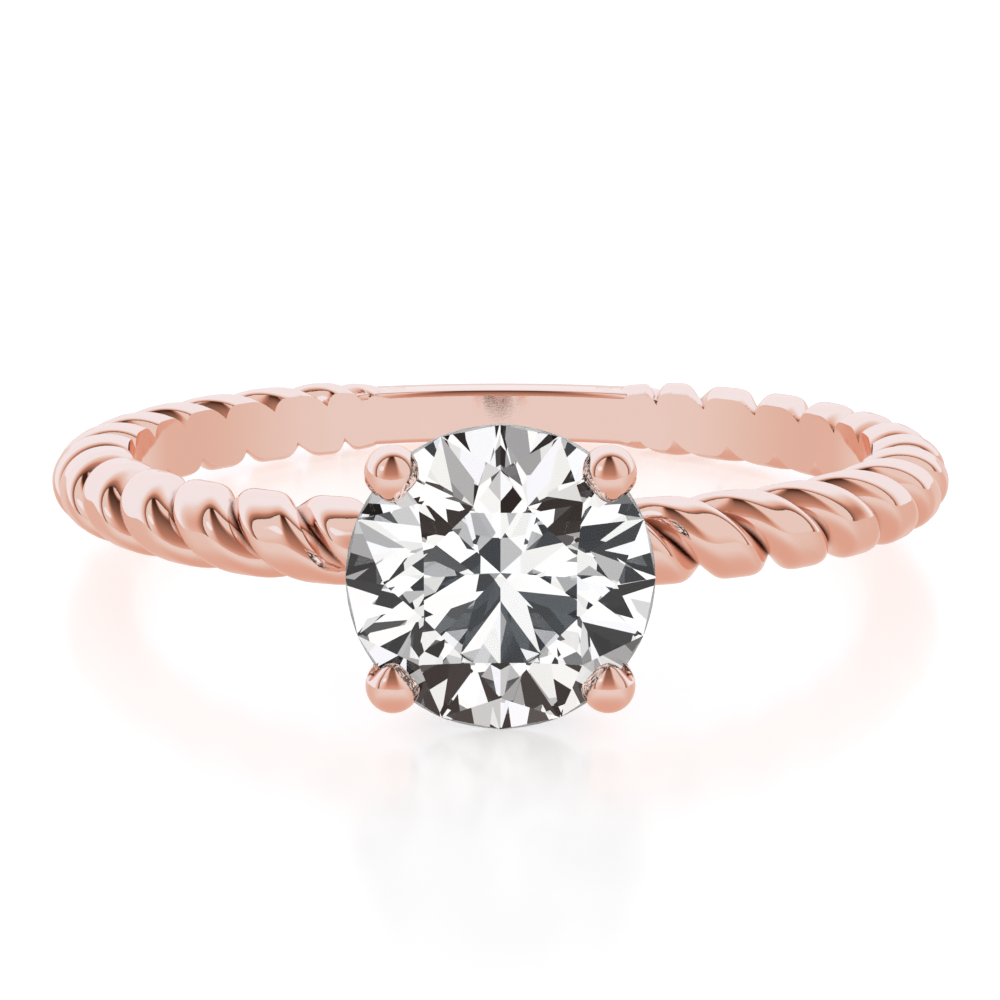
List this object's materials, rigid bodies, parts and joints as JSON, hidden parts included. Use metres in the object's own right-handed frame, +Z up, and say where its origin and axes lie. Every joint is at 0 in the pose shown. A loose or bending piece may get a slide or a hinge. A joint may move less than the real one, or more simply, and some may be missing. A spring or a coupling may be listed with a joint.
{
  "type": "twisted shank ring",
  "caption": "Finger ring with a two-strand rope shank, a plain back and a four-claw head that holds a round brilliant stone.",
  "frame": {"origin": "centre of the finger hole, on its axis, midway through the plain back", "axes": "-Y points from the finger hole towards the stone, +Z is up as the ring lies on its side, +X to the right; the finger hole's axis leans 6 degrees from +Z towards +Y because the stone's edge lifts the front"},
  "size_m": [0.0198, 0.0227, 0.0059],
  "materials": {
    "rose_gold": "polished rose gold",
    "clear_stone": "clear, cut and polished"
  },
  "bodies": {
    "root": {"shank_and_head": "rose_gold", "round_stone": "clear_stone"}
  },
  "joints": []
}
